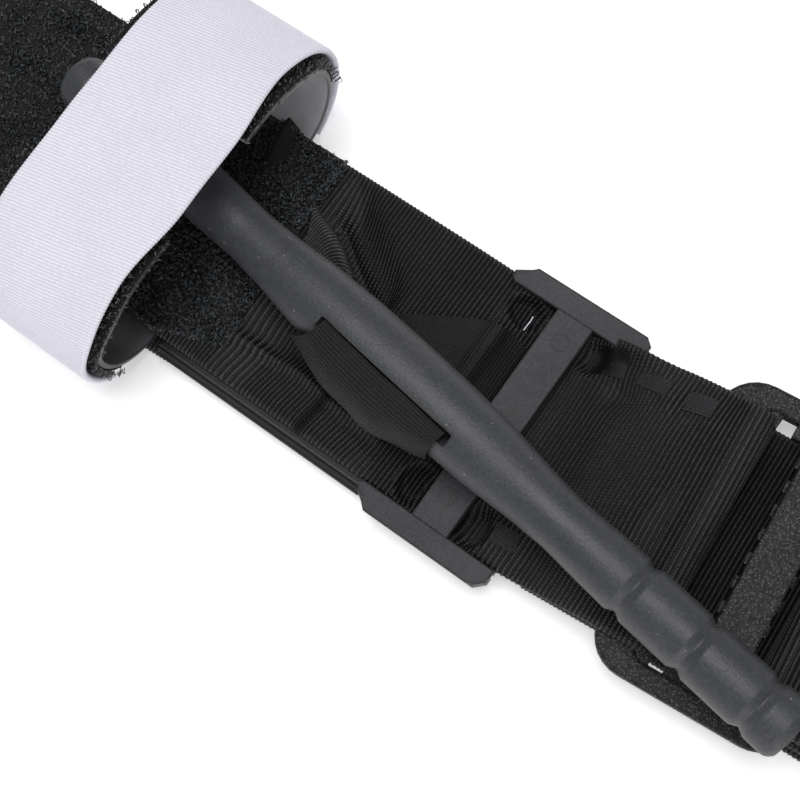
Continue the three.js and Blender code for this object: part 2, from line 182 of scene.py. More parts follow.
# ---- mesh building
def add_object(name, data):
    ob = bpy.data.objects.new(name, data)
    bpy.context.scene.collection.objects.link(ob)
    return ob


def mesh_object(name, verts, polys, uv=None, sharp=None):
    """An object from points in millimetres and arrays of indices, one array for each polygon size."""
    me = bpy.data.meshes.new(name)
    verts = np.asarray(verts, np.float64) * MM
    polys = [np.asarray(p, np.int64) for p in polys if len(p)]
    loops = np.concatenate([p.ravel() for p in polys])
    sizes = np.concatenate([np.full(len(p), p.shape[1]) for p in polys])
    me.vertices.add(len(verts))
    me.vertices.foreach_set("co", verts.astype(np.float32).ravel())
    me.loops.add(len(loops))
    me.loops.foreach_set("vertex_index", loops.astype(np.int32))
    me.polygons.add(len(sizes))
    me.polygons.foreach_set("loop_start", np.concatenate([[0], np.cumsum(sizes)[:-1]]).astype(np.int32))
    me.polygons.foreach_set("use_smooth", np.ones(len(sizes), bool))
    if uv is not None:
        layer = me.uv_layers.new(name="weave")
        layer.data.foreach_set("uv", (np.asarray(uv)[loops] * MM).astype(np.float32).ravel())
    me.update()
    me.validate()
    if sharp:
        me.set_sharp_from_angle(angle=math.radians(sharp))
    return add_object(name, me)


def moved(ob, change):
    """The object with its points, in metres, changed in place by a function."""
    co = np.empty(len(ob.data.vertices) * 3, np.float32)
    ob.data.vertices.foreach_get("co", co)
    change(co.reshape(-1, 3))
    ob.data.vertices.foreach_set("co", co)
    ob.data.update()
    return ob


def grid_faces(rows, cols, closed):
    """Quads of a grid of points, rows by cols; closed joins the last column to the first."""
    r = np.arange(rows - 1)[:, None]
    c = np.arange(cols if closed else cols - 1)[None, :]
    n = (c + 1) % cols
    corners = [r * cols + c, (r + 1) * cols + c, (r + 1) * cols + n, r * cols + n]
    return np.stack(corners, axis=-1).reshape(-1, 4)


def finish(ob, body, mat, slot, *nodes):
    """Gives a piece its material, its body and the parts it stands for; slot is not used."""
    ob.data.materials.clear()
    ob.data.materials.append(mat)
    if body:
        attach(ob, body)
    if nodes:
        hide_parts(*nodes)
    return ob


class Spine:
    """A path with a side direction across the strip and an up direction off its face."""

    def __init__(self, points, step, side=None):
        """Rows of points are x, y, z and the side direction's yaw, or x, y, z with side given."""
        rows, self.s = smooth_line(points, step)
        self.p = rows[:, :3]
        self.t = unit(np.gradient(self.p, self.s, axis=0))
        if side is None:
            yaw = np.radians(rows[:, 3])
            self.side = np.stack([-np.sin(yaw), np.cos(yaw), np.zeros_like(yaw)], axis=1)
        else:
            self.side = np.tile(np.asarray(side, float), (len(self.p), 1))
        self.up = unit(np.cross(self.t, self.side))

    def part(self, a, b):
        """The stretch from row a up to row b, and how far along the whole path it starts."""
        piece = Spine.__new__(Spine)
        piece.p, piece.t, piece.side, piece.up = (v[a:b] for v in (self.p, self.t, self.side, self.up))
        piece.s = self.s[a:b] - self.s[a]
        return piece, float(self.s[a])


def section(half, thick, edge, top, bottom, arc_n):
    """Points of a strip's closed cross-section: across, height and their outward normal."""
    rows = []
    flat, rise = half - edge, thick / 2 - edge
    for side, count in ((1, top), (-1, bottom)):
        for y in np.linspace(-flat, flat, count + 1):
            rows.append((side * y, side * thick / 2, 0, side))
        for k in range(1, 2 * arc_n):
            a = side * math.pi / 2 - math.pi * k / (2 * arc_n)
            out, up = math.cos(a), math.sin(a)
            level = math.copysign(rise, up) * (k != arc_n)
            rows.append((side * flat + edge * out, level + edge * up, out, up))
    return np.array(rows)


def strip(name, spine, half, thick, edge=None, top=40, bottom=12, arc_n=2, rib=RIB, amp=0.11, skew=0.0,
          phase=0.0, shape=None, sharp=55, s0=0.0):
    """A closed strip along a spine, with raised cross ribs.

    shape(xyz, y, s) returns how far each point moves along up and along the path.
    """
    edge = thick / 2 * 0.98 if edge is None else edge
    y, z, ny, nz = section(half, thick, edge, top, bottom, arc_n).T
    s = spine.s[:, None]
    weight = np.where(np.abs(nz) > 0.9, 1.0, 0.7)
    wave = np.cos(2 * math.pi * (s + s0 + skew * y[None, :]) / rib + phase)
    h = amp * weight[None, :] * wave
    base = spine.p[:, None, :] + spine.side[:, None, :] * y[None, :, None]
    across, run = np.broadcast_to(y, h.shape), np.broadcast_to(s + s0, h.shape)
    lift, slide = shape(base, across, run) if shape else (np.zeros(h.shape),) * 2
    pos = (
        base + spine.side[:, None, :] * (ny[None, :] * h)[..., None]
        + spine.up[:, None, :] * (z[None, :] + nz[None, :] * h + lift)[..., None]
        + spine.t[:, None, :] * slide[..., None]
    )
    rows, cols = h.shape
    caps = np.array([np.arange(cols), (rows - 1) * cols + np.arange(cols)[::-1]])
    uv = np.stack([run, across], axis=-1).reshape(-1, 2)
    return mesh_object(name, pos.reshape(-1, 3), [grid_faces(rows, cols, True), caps], uv, sharp)


def tubes(name, lines, radius, sides):
    """Many small tubes in one mesh: lines is (count, points, 3), with closed ends."""
    count, n, _ = lines.shape
    tangent = unit(np.gradient(lines, axis=1))
    ref = np.where(np.abs(tangent[:, :1, 2:3]) > 0.9, np.array([1.0, 0, 0]), np.array([0, 0, 1.0]))
    a = unit(np.cross(tangent, np.broadcast_to(ref, tangent.shape)) + 1e-9)
    b = np.cross(tangent, a)
    angle = (2 * math.pi * np.arange(sides) / sides)[None, None, :, None]
    r = np.broadcast_to(np.asarray(radius), (count, n))[:, :, None, None]
    ring = lines[:, :, None, :] + r * (a[:, :, None, :] * np.cos(angle) + b[:, :, None, :] * np.sin(angle))
    start = (np.arange(count) * n * sides)[:, None, None]
    quads = (grid_faces(n, sides, True)[None] + start).reshape(-1, 4)
    ends = np.array([np.arange(sides)[::-1], (n - 1) * sides + np.arange(sides)])
    caps = (ends[None] + start).reshape(-1, sides)
    return mesh_object(name, ring.reshape(-1, 3), [quads[:, ::-1], caps[:, ::-1]])


def sheet(name, rows, thick, cols=40, lines=60, ripple=None):
    """A closed sheet lofted through rows of points.

    ripple(a, b, xyz) moves it along its normal, with a and b from 0 to 1.
    """
    across = np.array([even_line(np.asarray(r, float), cols) for r in rows])
    grid = np.empty((lines + 1, cols + 1, 3))
    for j in range(cols + 1):
        grid[:, j] = even_line(across[:, j], lines)

    def normals():
        return unit(np.cross(unit(np.gradient(grid, axis=1)), unit(np.gradient(grid, axis=0))))

    if ripple:
        a, b = np.meshgrid(np.linspace(0, 1, lines + 1), np.linspace(0, 1, cols + 1), indexing="ij")
        grid = grid + normals() * ripple(a, b, grid)[..., None]
    half = normals() * thick / 2
    verts = np.concatenate([(grid + half).reshape(-1, 3), (grid - half).reshape(-1, 3)])
    r, c = grid.shape[:2]
    faces, under = grid_faces(r, c, False), r * c
    edge = np.concatenate([
        np.arange(c), np.arange(1, r) * c + c - 1,
        (r - 1) * c + np.arange(c - 2, -1, -1), np.arange(r - 2, 0, -1) * c,
    ])
    after = np.roll(edge, -1)
    side = np.stack([edge, after, after + under, edge + under], axis=-1)
    u = np.concatenate([[0], np.cumsum(np.linalg.norm(np.diff(grid[:, c // 2], axis=0), axis=1))])
    v = np.linspace(-0.5, 0.5, c) * np.linalg.norm(grid[r // 2, -1] - grid[r // 2, 0])
    uv = np.stack(np.meshgrid(u, v, indexing="ij"), axis=-1).reshape(-1, 2)
    return mesh_object(name, verts, [faces[:, ::-1], faces + under, side], np.vstack([uv, uv]), 60)


def plate(name, outline, z0, z1, bevel, segments=2, holes=()):
    """A flat moulding with rounded edges: outlines are lists of x, y, extruded from z0 to z1."""
    cu = bpy.data.curves.new(name, "CURVE")
    cu.dimensions = "2D"
    cu.fill_mode = "BOTH"
    for line in [outline, *holes]:
        sp = cu.splines.new("POLY")
        sp.points.add(len(line) - 1)
        for q, (x, y) in zip(sp.points, line):
            q.co = (x, y, 0, 1)
        sp.use_cyclic_u = True
    cu.extrude = (z1 - z0) / 2 - bevel
    cu.bevel_depth = bevel
    cu.bevel_resolution = segments
    cu.offset = -bevel
    ob = add_object(name, cu)
    bpy.context.view_layer.update()
    me = bpy.data.meshes.new_from_object(ob.evaluated_get(bpy.context.evaluated_depsgraph_get()))
    bpy.data.objects.remove(ob)
    bpy.data.curves.remove(cu)
    me.name = name
    me.transform(Matrix.Translation((0, 0, (z0 + z1) / 2)))
    me.transform(Matrix.Diagonal((MM, MM, MM, 1)))
    me.polygons.foreach_set("use_smooth", np.ones(len(me.polygons), bool))
    me.set_sharp_from_angle(angle=math.radians(40))
    for face in me.polygons:
        if abs(face.normal.z) > 0.999:
            face.use_smooth = False
    return add_object(name, me)


def slab(name, x0, x1, y0, y1, z0, z1, bevel, segments=2):
    """A rectangular plate."""
    return plate(name, [(x0, y0), (x1, y0), (x1, y1), (x0, y1)], z0, z1, bevel, segments)


def join(name, *objects):
    """One mesh from several separate closed forms of the same moulding."""
    bm = bmesh.new()
    for ob in objects:
        bm.from_mesh(ob.data)
        bpy.data.objects.remove(ob)
    bmesh.ops.remove_doubles(bm, verts=bm.verts, dist=1e-7)
    me = bpy.data.meshes.new(name)
    bm.to_mesh(me)
    bm.free()
    return add_object(name, me)


# ---- materials
class Nodes:
    """A material's node tree, written as calls: each returns its node's output socket."""

    def __init__(self, name, roughness, **sockets):
        self.mat = bpy.data.materials.new(name)
        self.mat.use_nodes = True
        self.tree = self.mat.node_tree
        self.tree.nodes.clear()
        self.shader = self.tree.nodes.new("ShaderNodeBsdfPrincipled")
        out = self.tree.nodes.new("ShaderNodeOutputMaterial")
        self.tree.links.new(self.shader.outputs[0], out.inputs[0])
        self.set("Roughness", roughness)
        for key, value in sockets.items():
            self.set(key.replace("_", " "), value)

    def set(self, name, value):
        self.put(self.shader.inputs[name], value)

    def put(self, socket, value):
        if isinstance(value, bpy.types.NodeSocket):
            self.tree.links.new(value, socket)
        elif isinstance(value, tuple):  # a colour
            socket.default_value = (*value, 1)
        else:
            socket.default_value = value

    def add(self, kind, inputs=(), output=0, **props):
        node = self.tree.nodes.new("ShaderNode" + kind)
        for key, value in props.items():
            setattr(node, key, value)
        for key, value in dict(inputs).items():
            self.put(node.inputs[key], value)
        return node.outputs[output]

    def math(self, operation, a, b=0.0, c=0.0):
        return self.add("Math", {0: a, 1: b, 2: c}, operation=operation)

    def times(self, a, b):
        return self.math("MULTIPLY", a, b)

    def wave(self, turns):
        """A cosine between 0 and 1, one period for each turn."""
        return self.math("MULTIPLY_ADD", self.math("COSINE", self.times(turns, 2 * math.pi)), 0.5, 0.5)

    def mix(self, factor, a, b):
        return self.add("Mix", {0: factor, 6: a, 7: b}, output=2, data_type="RGBA")

    def noise(self, where, scale, detail=3.0, rough=0.5):
        return self.add("TexNoise", {"Vector": where, "Scale": scale, "Detail": detail, "Roughness": rough})

    def level(self, value, low, high, to_low=0.0, to_high=1.0):
        return self.add("MapRange", {0: value, 1: low, 2: high, 3: to_low, 4: to_high})

    def place(self):
        return self.add("TexCoord", output=3)

    def weave_uv(self):
        u = self.add("SeparateXYZ", {0: self.add("UVMap", uv_map="weave")})
        return u, u.node.outputs[1]

    def relief(self, height, distance, strength=1.0):
        return self.add("Bump", {"Height": height, "Distance": distance, "Strength": strength})


def webbing(name, dark, light, rib=RIB, bead=0.46, skew=0.0, rough=0.55, fuzz=0.35, grain=1.0,
            specular=0.25, contrast=1.0, beading=0.36):
    """Ribbed webbing.

    The base colour is painted lighter on the ribs' crests and darker in the valleys and between the beads
    (painted highlight and painted shade), warp yarns break each rib into beads, and stray fibres vary it.
    """
    n = Nodes(name, rough, Specular_IOR_Level=specular)
    u, v = n.weave_uv()
    turn = n.times(n.math("MULTIPLY_ADD", v, skew, u), 1 / (rib * MM))
    crest = n.wave(turn)
    row = n.math("FLOOR", n.math("ADD", turn, 0.5))
    place = n.place()
    fibre = n.noise(place, 2600, 3, 0.6)
    patchy = n.noise(place, 90, 3, 0.55)
    wobble = n.times(n.noise(place, 500, 2, 0.5), 0.8)
    across = n.math("MULTIPLY_ADD", v, 1 / (bead * MM), n.times(row, 0.5))
    beads = n.wave(n.math("ADD", across, wobble))
    # painted highlight on the ribs' crests and painted shade in the valleys and between the beads, in the
    # base colour
    painted_crest_light = n.math("MULTIPLY_ADD", n.math("POWER", crest, 0.6 + 1.6 * contrast), 0.97, 0.03)
    tone = n.times(n.math("MULTIPLY_ADD", beads, beading, 1 - beading), painted_crest_light)
    tone = n.times(tone, n.level(fibre, 0.3, 0.72, 0.45, 1.35))
    tone = n.times(tone, n.level(patchy, 0.3, 0.7, 0.8, 1.2))
    n.set("Base Color", n.mix(tone, dark, light))
    height = n.times(beads, n.math("MULTIPLY_ADD", crest, 0.8, 0.2))
    n.set("Normal", n.relief(n.math("ADD", height, n.times(fibre, fuzz)), 0.00012 * grain))
    return n.mat


def paint_far_side_light(n, place, colour, pale):
    """Painted light: the base colour paled where light reaches the clip's far horn; full on the far side,
    faint on the near side, little on faces turned along the band.
    """
    side = n.add("SeparateXYZ", {0: place}, output=1)
    far, near = n.level(side, 0.004, 0.016), n.level(side, -0.012, -0.02, 0.0, 0.16)
    facing = n.add("SeparateXYZ", {0: n.add("TexCoord", output=1)})
    painted_light = n.times(n.math("MAXIMUM", far, near), n.level(facing, 0.2, 0.8, 1.0, 0.06))
    uneven = n.level(n.noise(place, 140, 3, 0.5), 0.3, 0.7, 0.7, 1.0)
    return n.mix(n.times(painted_light, uneven), colour, (pale, pale, pale * 1.05))


def moulded(name, dark, light, rough, grain, depth, sparkle=0.0, specular=0.5, specks=None, far_light_paleness=None):
    """Moulded nylon: a fine even grain, uneven gloss and specks of dust.

    specks are density, reach and paleness; the last argument is how pale the painted light on the far side
    is.
    """
    n = Nodes(name, rough, Specular_IOR_Level=specular)
    place = n.place()
    fine = n.noise(place, grain, 2, 0.5)
    broad = n.noise(place, 60, 4, 0.6)
    mottled = n.noise(place, 700, 3, 0.6)
    tone = n.times(n.level(fine, 0.3, 0.7, 0.3, 1.0), n.level(broad, 0.3, 0.7, 0.65, 1.0))
    colour = n.mix(n.times(tone, n.level(mottled, 0.3, 0.7, 0.6, 1.0)), dark, light)
    if specks:
        density, reach, pale = specks
        dots = n.add("TexVoronoi", {"Vector": place, "Scale": density, "Randomness": 1.0})
        colour = n.mix(n.level(dots, reach, 0.6 * reach), colour, (pale, pale, pale * 1.05))
    # painted light: the far side paled in the base colour, standing in for the light that reaches it
    if far_light_paleness:
        colour = paint_far_side_light(n, place, colour, far_light_paleness)
    n.set("Base Color", colour)
    gloss = n.level(broad, 0.3, 0.7, rough - 0.06, rough + 0.06)
    n.set("Roughness", n.math("ADD", gloss, n.level(fine, 0.55, 0.75, 0.0, -sparkle)))
    n.set("Normal", n.relief(fine, depth))
    return n.mat


def fibres(name, dark, light, rough=0.5):
    """Nylon monofilament of loops and hooks, each a little lighter or darker than the next."""
    n = Nodes(name, rough, Specular_IOR_Level=0.5)
    place = n.place()
    n.set("Base Color", n.mix(n.level(n.noise(place, 2000, 2, 0.5), 0.42, 0.75), dark, light))
    n.set("Normal", n.relief(n.noise(place, 5000, 2, 0.5), 0.00002, 0.6))
    return n.mat


mat_web = webbing("webbing", (0.001, 0.001, 0.0013), (0.056, 0.0573, 0.063))
mat_fold = webbing("folded_weave", (0.002, 0.002, 0.0025), (0.13, 0.132, 0.138),
                   rib=0.95, bead=0.3, skew=1.8, contrast=0.8)
mat_inner = webbing("inner_weave", (0.0012, 0.0012, 0.0012), (0.025, 0.025, 0.0247),
                    rib=0.55, bead=0.36, fuzz=0.5, contrast=0.9)
mat_white = webbing("white_webbing", (0.6, 0.595, 0.67), (0.80, 0.795, 0.88), rib=0.5, bead=0.6, skew=-0.2,
                    rough=0.8, fuzz=0.4, grain=0.25, specular=0.3, contrast=0.2, beading=0.15)
mat_patch = webbing("bond_stitching", (0.008, 0.008, 0.009), (0.034, 0.035, 0.039),
                    rib=0.4, bead=0.4, fuzz=2.0, contrast=0.0)
# near-black: the melted spot's own colour, and painted shade on the plate's sloping strip
mat_melted_and_painted_shade = moulded("melted_webbing_and_painted_shade", (0.002, 0.002, 0.0023), (0.006, 0.006, 0.007), 0.5, 1500, 0.00006,
                     specular=0.15)
mat_plate = moulded("plate_nylon", (0.009, 0.0096, 0.0115), (0.043, 0.045, 0.05), 0.55, 2900, 0.00006,
                    specular=0.4)
# the clip's far side is painted paler: painted light standing in for the light reaching the far horn's inside
mat_clip = moulded("clip_nylon", (0.024, 0.025, 0.028), (0.036, 0.037, 0.041), 0.4, 2600, 0.00001, far_light_paleness=0.62)
mat_rod = moulded("rod_nylon", (0.018, 0.0195, 0.0225), (0.056, 0.058, 0.063), 0.5, 2600, 0.00006,
                  specks=(420.0, 0.075, 0.16))
mat_buckle = moulded("buckle_nylon", (0.0006, 0.0006, 0.0008), (0.04, 0.041, 0.045), 0.45, 2200, 0.00016,
                     sparkle=0.25, specular=0.16, specks=(2400.0, 0.34, 0.085))
mat_pile = fibres("loop_pile", (0.0008, 0.0009, 0.001), (0.125, 0.14, 0.155), 0.28)
mat_pile_base = fibres("pile_ground", (0.0015, 0.0015, 0.0018), (0.005, 0.0055, 0.006), 0.9)
mat_under_hooks = fibres("hook_tape_under", (0.003, 0.0032, 0.0035), (0.05, 0.051, 0.054), 0.45)
mat_hook = fibres("hook_tape", (0.008, 0.0085, 0.009), (0.22, 0.225, 0.235), 0.3)


# ---- camera, floor and light
CAMERA_TARGET = (34.55, -6.43, 5.0)
CAMERA_ANGLES = (-29.53, 74.83, -25.41)  # azimuth, elevation and roll
CAMERA_DISTANCE = 196.4
CAMERA_LENS = 60.57


def camera():
    """Looks down at the clip, rod and buckle from the handle side, rolled to the left."""
    azimuth, elevation, roll = map(math.radians, CAMERA_ANGLES)
    level = math.cos(elevation)
    back = np.array([level * math.cos(azimuth), level * math.sin(azimuth), math.sin(elevation)])
    right = unit(np.cross(-back, [0, 0, 1.0]))
    up = np.cross(right, -back)
    r = math.cos(roll) * right + math.sin(roll) * up
    u = -math.sin(roll) * right + math.cos(roll) * up
    data = bpy.data.cameras.new("camera")
    data.sensor_width = 36
    data.lens = CAMERA_LENS
    data.clip_start, data.clip_end = 0.005, 20
    ob = add_object("camera", data)
    place = (np.array(CAMERA_TARGET) + back * CAMERA_DISTANCE) * MM
    ob.matrix_world = Matrix([*((r[i], u[i], back[i], place[i]) for i in range(3)), (0, 0, 0, 1)])
    bpy.context.scene.camera = ob


def floor():
    far = 3000
    corners = [(-far, -far, 0), (far, -far, 0), (far, far, 0), (-far, far, 0)]
    ob = mesh_object("floor", corners, [[range(4)]])
    n = Nodes("floor", 0.9, Specular_IOR_Level=0.1, Emission_Color=(1, 1, 1), Emission_Strength=0.3)
    uneven = n.level(n.noise(n.place(), 3, 2), 0.3, 0.7)
    n.set("Base Color", n.mix(uneven, (0.93, 0.93, 0.93), (0.95, 0.95, 0.95)))
    ob.data.materials.append(n.mat)


def area_light(name, place, aim, power):
    data = bpy.data.lights.new(name, "AREA")
    data.shape = "DISK"
    data.size = 0.6
    data.energy = power
    ob = add_object(name, data)
    ob.location = place
    ob.rotation_mode = "QUATERNION"
    ob.rotation_quaternion = (Vector(aim) - Vector(place)).to_track_quat("-Z", "Y")


def lights():
    """A soft key above the far side, a fill from the buckle's near side and an even white sky."""
    world = bpy.data.worlds.new("world")
    bpy.context.scene.world = world
    world.use_nodes = True
    sky = world.node_tree.nodes["Background"]
    sky.inputs[0].default_value = (1, 1, 1, 1)
    sky.inputs[1].default_value = 0.46
    area_light("key", (-0.05, 0.1, 0.95), (0.03, 0, 0), 5.4)
    area_light("fill", (0.62, -0.72, 0.36), (0.0, 0.01, 0.01), 2.5)
    bpy.context.scene.view_settings.view_transform = "Standard"


camera()
floor()
lights()


# ---- band: the upper run
CREASE = [(4, -12.8), (9.4, -12.4), (17.9, -11.6), (24.3, -12.2), (35.2, -13.1), (44, -14)]
VALLEY = [(9, 12.2), (12, 10.9), (15, 8.6), (18, 6.4), (21.6, 4.2), (26, 1.5)]
# dents beside the frame's bar: centre, reach along and across the band, and depth
HOLLOWS_BEFORE_BAR = [(42.3, 14.9, 2.7, 2.3, 2.4), (43.6, -15.3, 2.4, 3.0, 2.2)]
HOLLOWS_BEHIND_BAR = [(54.3, 14.6, 2.2, 2.6, 1.5), (54.3, -15.6, 2.4, 3.4, 1.9)]
# puckers round the bonded patches: centre, reach along the band and height
PUCKERS = [(64.9, 15.1, 2.6, 0.5), (72.1, 15.1, 2.6, 0.6), (57.3, -14.2, 2.4, 0.5)]


def upper_shape(xyz, y, s):
    """How the upper run lies: a crease beside the rod, a valley under it and hollows at the frame."""
    x, yy = xyz[..., 0], xyz[..., 1]
    crease = along(CREASE, x)
    strength = ramp(3, 11, x) * (1 - ramp(33, 38, x))
    deep = ramp(7.5, 13, x) * (1 - ramp(22, 27, x))
    slide = 0.2 * wander(5, 5, x, yy, 18) * ramp(6, 10, x)
    slide = slide + 2.2 * deep * (1 - ramp(0.3, 8.5, yy - along(VALLEY, x)))
    slide = slide - 0.9 * ramp(0, 6, crease - yy) * strength
    slide = slide * (1 - ramp(36, 44, x))
    x = x + slide
    lift = 0.12 * wander(3, 5, x, yy, 14) * ramp(-60, 5, x)
    lift += strength * (0.85 * bump(yy, crease, 0.8) - 0.35 * ramp(0, 5, crease - yy))
    lift -= strength * 0.5 * bump(yy, crease + 2.2, 1.4)
    off = yy - along(VALLEY, x) + 1.2
    lift -= 1.9 * deep * bump(off, 0, 1.6)
    lift += 0.6 * deep * bump(off, 4.2, 2.2) + 0.4 * bump(x, 30, 7) * bump(yy, 10, 6)
    for *dent, depth in HOLLOWS_BEFORE_BAR:
        lift -= depth * hollow(x, yy, *dent)
    lift += 0.7 * bump(x, 39.6, 1.0) * bump(yy, 12.2, 2.2)
    return lift, slide


def right_shape(xyz, y, s):
    """From frame to buckle: hollows beside the bar, an edge curled over the flange, puckers."""
    x, yy = xyz[..., 0], xyz[..., 1]
    lift = 0.14 * wander(11, 5, x, yy, 12)
    for px, py, reach, tall in PUCKERS:
        lift += tall * bump(x, px, reach) * bump(yy, py, 1.9)
    for *dent, depth in HOLLOWS_BEHIND_BAR:
        lift -= depth * hollow(x, yy, *dent)
    lift += 1.9 * bump(x, 58.6, 3.4) * ramp(15.5, 19.5, yy)
    lift -= 0.5 * bump(x, 68.4, 1.3) * bump(yy, 15.2, 2.4)
    slide = 0.25 * wander(12, 5, x, yy, 14) + 1.1 * ramp(7, 19, yy) * bump(x, 66, 8)
    slide += 0.9 * bump(x, 60.5, 3.0) * bump(yy, 11.5, 2.6)
    keep = ramp(50, 53, x) * (1 - ramp(73, 77, x))
    return lift * keep, slide * keep


def straight(*rows):
    """Rows of a spine along the sleeve's middle, from x and z."""
    return [(x, 0, z, 0) for x, z in rows]


upper_rows = straight(*((x, TOP_Z) for x in (SLEEVE_END, -80, -40, 0, 20)), (32, TOP_Z - 0.02), (37.2, 5.25),
                      (40.8, 4.75), (43.4, 4.0), (45.9, 3.2), (48.8, 3.05))
rail = arc(79.3, 6.3, 2.4, 90, -90, 8)[1:-1]  # round the buckle's first rail
turning = on_right(55.2, 0, 4.3)
frame_rows = [
    upper_rows[-1], (52.1, 0, 3.2, 0.6), (55.2, turning[1] * 0.3, turning[2], 2.0), right_row(59.2, 5.0, 4),
    *right_rows((61.6, 5.35), (66, 6.8), (70.5, 8.2), (74.4, 8.7), (77, 8.7), *rail),
    *right_rows((77, 3.9), (74.5, 3.9), (68, 3.7), (62.5, 3.3)),
]
spine_a = Spine(upper_rows, STEP)
spine_b = Spine(frame_rows, STEP)
band_top = strip("band_upper", spine_a, HALF, LAYER_T, top=90, bottom=10, shape=upper_shape)
finish(band_top, BAND, mat_web, "webbing", "band_sleeve_top")
band_right = strip("band_to_buckle", spine_b, HALF, BAND_T, top=100, bottom=24, shape=right_shape,
                   s0=spine_a.s[-1])
finish(band_right, BAND, mat_web, "webbing", "band_in_frame", "band_fixed_end")
under_rows = straight(*((x, UNDER_Z) for x in (SLEEVE_END, -40, 20, 34)), (37.6, UNDER_Z - 0.04))
band_under = strip("band_under", Spine(under_rows, STEP), HALF - 0.15, LAYER_T, top=6, bottom=8, phase=1.3)
finish(band_under, BAND, mat_web, "webbing", "band_sleeve_under")


# ---- band: the loop below and round both ends
BEND_R, BEND_Z = 5, 6
LEFT_BEND_X, RIGHT_BEND_X = -150, 228
HALVES_MEET_X = 90  # where the loop's two pieces meet on the lower run


def loop_rows():
    """The loop's middle line: from the buckle to the right bend, the lower run and the left bend."""
    rows = right_rows((99.3, 3.1), (114, 3.1), (150, 4.2), (190, 6.6), (212, 9.5))
    near_bend = on_right(226, 0, 11)
    rows.append((near_bend[0], near_bend[1] * 0.95, 11, 3.5))
    bend = arc(RIGHT_BEND_X, BEND_Z, BEND_R, 70, -70, 6)
    rows += [(x, 10.2 - 0.1 * i, z, 3.2) for i, (x, z) in enumerate(bend)]
    run = ((224, 1.05), (200, 1.0), (100, 1.0), (0, 1.0), (-100, 1.0), (-139, 1.03))
    rows += [lower_row(x, z) for x, z in run]
    left_y = LOWER_SHIFT_Y + LEFT_BEND_X * math.sin(math.radians(LOWER_YAW))
    bend = arc(LEFT_BEND_X, BEND_Z, BEND_R, 250, 110, 6)
    rows += [(x, left_y + 0.35 * i, z, 2.6 - 0.2 * i) for i, (x, z) in enumerate(bend)]
    return rows + [(-142, -3.6, 9.9, 0.9), (-130, -1.6, 7.2, 0.3), (-118, -0.3, 5.5, 0), (-112.6, 0, 5.0, 0)]


def loop_shape(xyz, y, s):
    return 0.12 * wander(22, 4, s, y, 20) * (xyz[..., 2] > 2.5), 0.2 * wander(23, 4, s, y, 25)


def resting(ob):
    """Presses whatever dips below the resting plane flat onto it."""
    def press(co):
        co[:, 2] = np.maximum(co[:, 2], 0)
    return moved(ob, press)


whole = Spine(loop_rows(), STEP)
raised = whole.p[:, 2] > 2.2
cut = int(np.argmin(np.abs(whole.p[:, 0] - HALVES_MEET_X) + 1e3 * raised))
piece, s0 = whole.part(0, cut + 1)
piece.p = piece.p - 0.6 * ramp(150, 96, piece.p[:, :1]) * piece.side
incoming = strip("band_loop_right", piece, HALF, INCOMING_T, top=22, bottom=12, s0=s0, shape=loop_shape)
finish(resting(incoming), BAND, mat_web, "webbing", "band_incoming", "band_incoming_rise", "band_right_bend")
piece, s0 = whole.part(cut, len(whole.s))
lower = strip("band_loop_left", piece, HALF, LOWER_T, top=18, bottom=12, s0=s0, shape=loop_shape)
finish(resting(lower), BAND, mat_web, "webbing", "band_lower", "band_left_bend")


# ---- loop pile
PILE_EDGE = [(-19, -3.4), (-18.4, -2.6), (-16.5, 2.8), (-14.6, 8.0), (-12, 8.2), (-6, 7.0), (2, 6.7),
             (10, 6.6), (19, 6.5)]
GROUND_Z, GROUND_END = 6.1, 6.4
EAR_X, EAR_Y = -3.7, 16.4  # the folded corner's peak along the band, and its start across it
UNDER_ROD = (-37.5, -24.5, -3.0)  # the rod's end sweeps between two places, below this y
PILE = [(-112, -76, 4400), (-76, -50, 3600), (-50, -26, 5400), (-26, -8, 5200), (-8, 8.6, 6000)]


def pile_end(y):
    """Where the tape stops, at each place across the band."""
    return along(PILE_EDGE, y)


def ear(x, y):
    """The sharply folded corner: 1 at its peak, falling away along straight creases."""
    run = x - EAR_X
    across = np.clip((y - EAR_Y) / (HALF - EAR_Y), 0, 1) ** 1.2
    return np.clip(1 - np.maximum(run / 2.0, -run / 2.4), 0, 1) * across


def pile_lift(x, y):
    """The tape's surface: soft, and its far edge curled up into an ear just outside the clip."""
    return 0.10 * wander(31, 6, x, y, 2.4) + 4.7 * ear(x, y)


